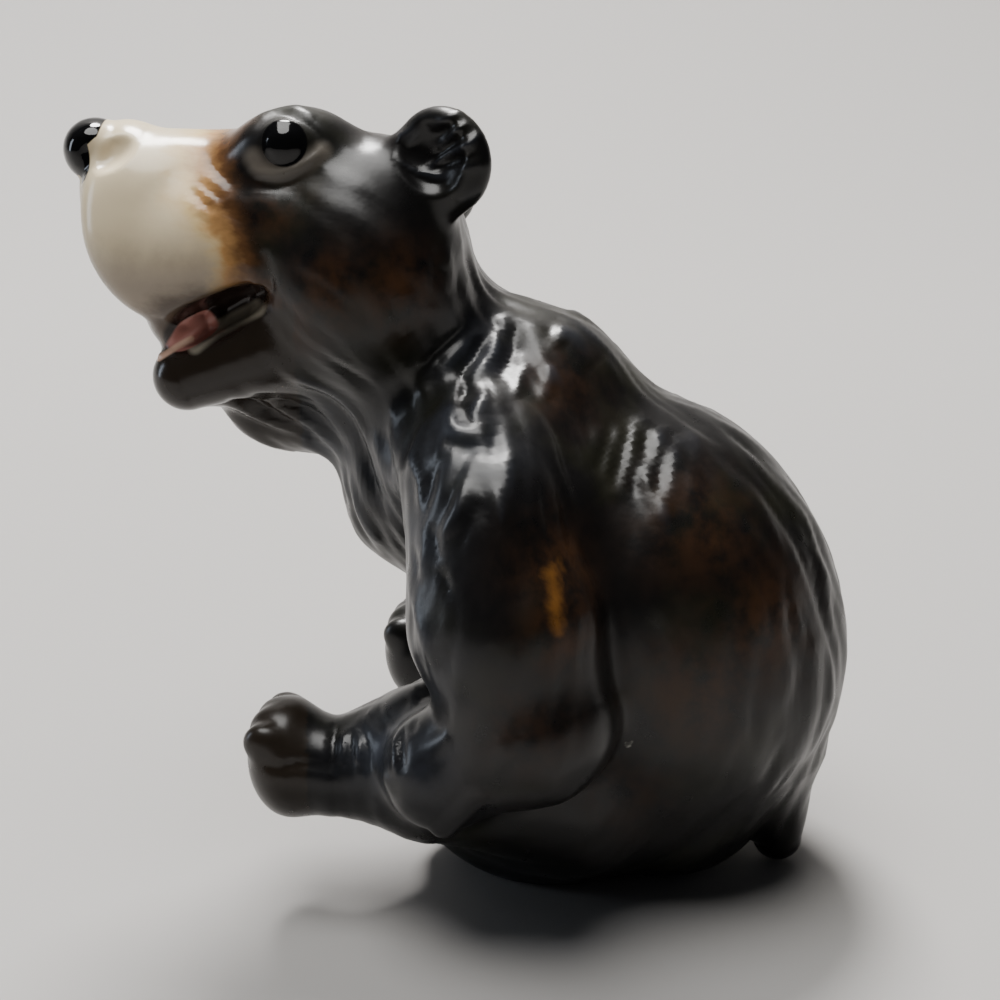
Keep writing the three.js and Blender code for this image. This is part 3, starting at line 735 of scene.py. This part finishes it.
class Paint:
    """Short words for the nodes of one material."""

    def __init__(self, name):
        self.material = bpy.data.materials.new(name)
        self.material.use_nodes = True
        self.nodes = self.material.node_tree.nodes
        self.links = self.material.node_tree.links
        self.shader = self.nodes["Principled BSDF"]
        self.place = self.nodes.new("ShaderNodeTexCoord").outputs["Object"]

    def put(self, socket, value):
        """A constant goes on the socket itself, and anything else is linked to it."""
        if isinstance(value, bpy.types.NodeSocket):
            self.links.new(value, socket)
        else:
            socket.default_value = value

    def layer(self, name):
        node = self.nodes.new("ShaderNodeAttribute")
        node.attribute_name = name
        return node.outputs["Fac"]

    def noise(self, size_mm, detail=2.0, rough=0.5, stretch=(1, 1, 1), seed=0.0):
        """Noise from 0 to 1 whose grains are about size_mm wide, longer where stretch is under 1."""
        mapping = self.nodes.new("ShaderNodeMapping")
        mapping.inputs["Scale"].default_value = stretch
        mapping.inputs["Location"].default_value = (seed, seed * 0.7, seed * 0.3)
        self.links.new(self.place, mapping.inputs["Vector"])
        node = self.nodes.new("ShaderNodeTexNoise")
        node.inputs["Scale"].default_value = 1.0 / (size_mm * MM)
        node.inputs["Detail"].default_value = detail
        node.inputs["Roughness"].default_value = rough
        self.links.new(mapping.outputs["Vector"], node.inputs["Vector"])
        return node.outputs["Fac"]

    def math(self, operation, a, b=0.0, c=0.0):
        node = self.nodes.new("ShaderNodeMath")
        node.operation = operation
        for socket, value in zip(node.inputs, (a, b, c)):
            self.put(socket, value)
        return node.outputs["Value"]

    def step(self, value, start, end, low=0.0, high=1.0):
        """A soft step from low at start to high at end."""
        node = self.nodes.new("ShaderNodeMapRange")
        node.interpolation_type = "SMOOTHSTEP"
        flip = start > end
        for name, number in zip(("From Min", "From Max", "To Min", "To Max"),
                                (end, start, high, low) if flip else (start, end, low, high)):
            node.inputs[name].default_value = number
        self.put(node.inputs["Value"], value)
        return node.outputs["Result"]

    def mix(self, below, above, amount, mode="MIX"):
        node = self.nodes.new("ShaderNodeMix")
        node.data_type = "RGBA"
        node.blend_type = mode
        self.put(node.inputs["Factor"], amount)
        self.put(node.inputs["A"] if False else node.inputs[6], below)
        self.put(node.inputs[7], above)
        return node.outputs[2]

    def ramp(self, value, stops):
        node = self.nodes.new("ShaderNodeValToRGB")
        elements = node.color_ramp.elements
        while len(elements) < len(stops):
            elements.new(0.5)
        for element, (position, colour) in zip(elements, stops):
            element.position = position
            element.color = colour
        self.put(node.inputs["Fac"], value)
        return node.outputs["Color"]

    def bump(self, height, distance_mm, strength=1.0, below=None):
        node = self.nodes.new("ShaderNodeBump")
        node.inputs["Distance"].default_value = distance_mm * MM
        node.inputs["Strength"].default_value = strength
        self.put(node.inputs["Height"], height)
        if below is not None:
            self.links.new(below, node.inputs["Normal"])
        return node.outputs["Normal"]


COAT_BLACK = linear(14, 13, 13)
# Brown: paint on the cheeks; on the body also a painted warm reflection
COAT_BROWN_AND_REFLECTION = linear(58, 36, 18)
# Blue-grey: partly paint, partly painted sheen on the coat and its ridges
COAT_BLUE_SHEEN = linear(44, 47, 54)
COAT_OLIVE = linear(24, 24, 17)
STREAK_ORANGE = linear(120, 80, 34)
NOSE_BLACK = linear(8, 8, 9)
MUZZLE_CREAM = linear(205, 190, 160)
MUZZLE_YELLOW = linear(196, 170, 122)
MUZZLE_TAN = linear(160, 122, 78)
MUZZLE_BROWN = linear(84, 58, 36)
# Grey for the muzzle's lower side: partly grey paint, partly painted shade
MUZZLE_GREY_SHADE = linear(150, 138, 122)
MUZZLE_PINK = linear(186, 158, 140)
# Lip and lid colours: the brown and the dark are painted shade by and in the mouth; the two greys are painted light
# on the lower lip and the lower lid
LIP_SHADE_BROWN = linear(58, 44, 34)
LIP_SHADE_DARK = linear(34, 24, 20)
LIP_LIT_GREY = linear(128, 122, 108)
LID_LIT_GREY = linear(104, 98, 90)
TONGUE_PINK = linear(168, 112, 102)
GUM_CREAM = linear(206, 170, 148)
JAW_DARK = linear(34, 28, 22)
CHIP_WHITE = linear(150, 150, 142)
DUST = linear(120, 116, 108)


def glaze():
    """Hand-painted glaze. The coat is black with brown, olive and blue-grey clouds: the blue-grey is partly painted
    sheen, and on the body the brown is partly a painted warm reflection.
    The muzzle runs from cream through tan and brown to black in brushed steps, and greys toward its lower side,
    partly painted shade. Painted shade darkens the lip toward the mouth and the mouth's hollow;
    painted light brightens the lower lip's inner band and the lower lid; and clear glaze covers everything."""
    paint = Paint("painted_glaze")
    clouds = paint.noise(14, 3, 0.55)
    mottle = paint.noise(4.5, 4, 0.6, seed=3.1)
    brush = paint.noise(2.2, 3, 0.6, stretch=(1, 0.45, 0.8), seed=1.7)
    fine = paint.noise(0.7, 2, 0.5, seed=5.3)

    # Brown clouds: real paint on the cheeks, and on the body partly a painted warm reflection
    brown = paint.math("MULTIPLY", paint.layer("brown"), paint.step(mottle, 0.3, 0.65))
    coat = paint.mix(COAT_BLACK, COAT_OLIVE, paint.step(clouds, 0.45, 0.7))
    coat = paint.mix(coat, COAT_BROWN_AND_REFLECTION, brown)
    # Painted sheen: blue-grey laid over the coat on chest, arm, paw and neck, partly real blue-grey paint
    sheen_and_wash = paint.math("MULTIPLY", paint.layer("sheen_and_wash"), paint.step(mottle, 0.25, 0.7, 0.35, 1.0))
    coat = paint.mix(coat, COAT_BLUE_SHEEN, sheen_and_wash)
    # Painted sheen: raised fur ridges lightened toward the blue-grey, partly a thinner glaze over them
    ridge = paint.step(paint.layer("relief_mm"), 0.05, 0.5, 0.0, 0.45)
    coat = paint.mix(coat, COAT_BLUE_SHEEN, ridge)
    streak = paint.math("ADD", paint.layer("streak_mm"), paint.math("MULTIPLY_ADD", brush, 2.4, -1.3))
    coat = paint.mix(coat, STREAK_ORANGE, paint.step(streak, -1.4, 0.3, 0.0, 0.75))

    wander = paint.math("MULTIPLY_ADD", brush, 5.0, -2.5)
    muzzle_mm = paint.math("ADD", paint.layer("muzzle_mm"), wander)
    share = paint.step(muzzle_mm, -6.0, 14.0)
    pale = paint.ramp(share, ((0.0, COAT_BLACK), (0.16, MUZZLE_BROWN), (0.32, MUZZLE_TAN),
                              (0.48, MUZZLE_YELLOW), (0.75, MUZZLE_CREAM)))
    # Partly painted shade: the muzzle turns greyer toward its lower side, under the light from above, and partly grey
    # paint
    upness = paint.math("ADD", paint.layer("muzzle_up"), paint.math("MULTIPLY_ADD", mottle, 5.0, -2.5))
    grey = paint.mix(MUZZLE_CREAM, MUZZLE_GREY_SHADE, paint.step(upness, 2.0, -9.0))
    pale = paint.mix(pale, grey, paint.math("MULTIPLY", paint.step(upness, 3.0, -6.0), paint.step(share, 0.3, 0.6)))
    face = paint.mix(coat, pale, paint.step(muzzle_mm, -5.0, -1.0))

    # Painted shade: the lip darkens to brown toward the mouth opening
    face = paint.mix(face, LIP_SHADE_BROWN, paint.step(paint.math("ADD", paint.layer("mouth_mm"), wander), -5.5, -0.5, 0.0, 0.85))
    # Painted light: the lower lid lightened to grey where the light from above falls on it, partly pale paint
    face = paint.mix(face, LID_LIT_GREY, paint.step(paint.layer("lit_lid_mm"), -1.2, 0.4, 0.0, 0.7))
    face = paint.mix(face, JAW_DARK, paint.layer("jaw"))
    # Painted shade: the mouth's hollow is painted near-black brown
    face = paint.mix(face, LIP_SHADE_DARK, paint.step(paint.layer("mouth_mm"), -0.4, 0.4))
    # Painted light: a pale grey band where light and its glint fall on the lower lip's up-facing inner face
    face = paint.mix(face, LIP_LIT_GREY, paint.step(paint.layer("lit_lower_lip_mm"), -0.5, 0.3))
    face = paint.mix(face, TONGUE_PINK, paint.step(paint.layer("tongue_mm"), -0.1, 0.3))
    face = paint.mix(face, GUM_CREAM, paint.step(paint.layer("gum_mm"), -0.1, 0.3))
    face = paint.mix(face, NOSE_BLACK, paint.step(paint.layer("nose_mm"), -0.12, 0.12))
    face = paint.mix(face, NOSE_BLACK, paint.step(paint.layer("eye_mm"), -0.15, 0.1))
    chip = paint.math("ADD", paint.layer("chip_mm"), paint.math("MULTIPLY_ADD", brush, 3.2, -1.9))
    face = paint.mix(face, CHIP_WHITE, paint.step(chip, -0.1, 0.35))
    paint.put(paint.shader.inputs["Base Color"], face)

    rough = paint.step(mottle, 0.2, 0.8, 0.26, 0.36)
    rough = paint.math("MULTIPLY", rough, paint.step(muzzle_mm, -5.0, -1.0, 1.0, 0.65))
    hard = paint.math("MAXIMUM", paint.step(paint.layer("nose_mm"), -0.12, 0.12),
                      paint.step(paint.layer("eye_mm"), -0.15, 0.1))
    rough = paint.math("MULTIPLY", rough, paint.step(hard, 0.0, 1.0, 1.0, 0.3))
    rough = paint.math("ADD", rough, paint.step(chip, -0.1, 0.35, 0.0, 0.4))
    paint.put(paint.shader.inputs["Roughness"], rough)
    paint.shader.inputs["IOR"].default_value = 1.5
    paint.shader.inputs["Specular IOR Level"].default_value = 0.32
    ripple = paint.bump(paint.noise(2.6, 2, 0.5, seed=9.0), 0.06, 0.6)
    grain = paint.bump(paint.noise(0.5, 2, 0.5, seed=2.0), 0.01, 0.5, ripple)
    paint.links.new(grain, paint.shader.inputs["Normal"])
    return paint.material


# The view of the photograph: bearing and height of the camera round the bear, in degrees and millimetres
VIEW_BEARING = 103.0
VIEW_HEIGHT = 21.0
VIEW_DISTANCE = 260.0
VIEW_TARGET = (0.0, 6.671, 53.0)
SENSOR = 36.0
FOCAL_RATIO = 1.82  # focal length as a share of the picture's width


def view_axes(bearing=VIEW_BEARING, height=VIEW_HEIGHT):
    a, e = radians(bearing), radians(height)
    back = np.array([math.sin(a) * math.cos(e), -math.cos(a) * math.cos(e), math.sin(e)])
    right = np.array([math.cos(a), math.sin(a), 0.0])
    return right, np.cross(back, right), back


def in_row(point):
    return Vector(((np.array(point, float) + ROW_SHIFT) * MM).tolist())


def make_camera():
    right, up, back = view_axes()
    data = bpy.data.cameras.new("view")
    data.sensor_width = SENSOR
    data.lens = SENSOR * FOCAL_RATIO
    data.clip_start = 0.01
    camera = bpy.data.objects.new("view", data)
    turn = Matrix((right, up, back)).transposed().to_4x4()
    camera.matrix_world = Matrix.Translation(in_row(VIEW_TARGET + VIEW_DISTANCE * back)) @ turn
    bpy.context.scene.collection.objects.link(camera)
    bpy.context.scene.camera = camera


def area_light(name, toward, distance, size, power, colour):
    """A rectangular light that looks at the bear from the given direction."""
    toward = np.array(toward, float)
    toward /= np.linalg.norm(toward)
    data = bpy.data.lights.new(name, "AREA")
    data.shape = "ELLIPSE"
    data.size, data.size_y = size
    data.energy = power
    data.color = colour
    light = bpy.data.objects.new(name, data)
    at = in_row((0, 0, 60)) + Vector((toward * distance).tolist())
    light.location = at
    light.rotation_euler = (in_row((0, 0, 60)) - at).to_track_quat("-Z", "Y").to_euler()
    bpy.context.scene.collection.objects.link(light)


def make_lights():
    area_light("lamp", (-0.42, -0.19, 0.89), 1.1, (0.36, 0.36), 32.0, (1.0, 0.98, 0.96))
    area_light("ceiling", (0.12, -0.14, 0.98), 1.3, (0.9, 0.9), 22.0, (1.0, 0.99, 0.97))
    area_light("window", (0.12, -0.98, 0.16), 1.2, (0.25, 0.7), 3.0, (0.78, 0.87, 1.0))
    world = bpy.data.worlds.new("soft room")
    world.use_nodes = True
    background = world.node_tree.nodes["Background"]
    background.inputs["Color"].default_value = linear(200, 204, 212)
    background.inputs["Strength"].default_value = 0.06
    bpy.context.scene.world = world


def make_floor():
    """A pale floor that curves up into a backdrop: a straight run, a quarter circle and a straight rise,
    carried sideways."""
    right, up, back = view_axes(height=0.0)
    near, far, radius, rise = 0.9, 0.3, 0.35, 1.2
    bend = np.linspace(0, math.pi / 2, 24)
    run = np.concatenate([[-near], far + radius * np.sin(bend), [far + radius]])
    height = np.concatenate([[0.0], radius - radius * np.cos(bend), [rise]])
    across = np.array([-2.2, 2.2])
    points = (-run[:, None, None] * back + across[None, :, None] * right
              + height[:, None, None] * np.array([0, 0, 1.0]))
    count = len(run)
    quads = [(2 * i, 2 * i + 1, 2 * i + 3, 2 * i + 2) for i in range(count - 1)]
    mesh = bpy.data.meshes.new("studio_floor")
    mesh.from_pydata(points.reshape(-1, 3).tolist(), [], quads)
    mesh.shade_smooth()
    floor = bpy.data.objects.new("studio_floor", mesh)
    bpy.context.scene.collection.objects.link(floor)
    paint = Paint("pale_floor")
    paint.shader.inputs["Base Color"].default_value = linear(152, 150, 148)
    paint.shader.inputs["Roughness"].default_value = 0.9
    mesh.materials.append(paint.material)


make_camera()
make_lights()
make_floor()
figurine = make_bear()
figurine.data.materials.append(glaze())
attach(figurine, "root")
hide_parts("bear_figurine")
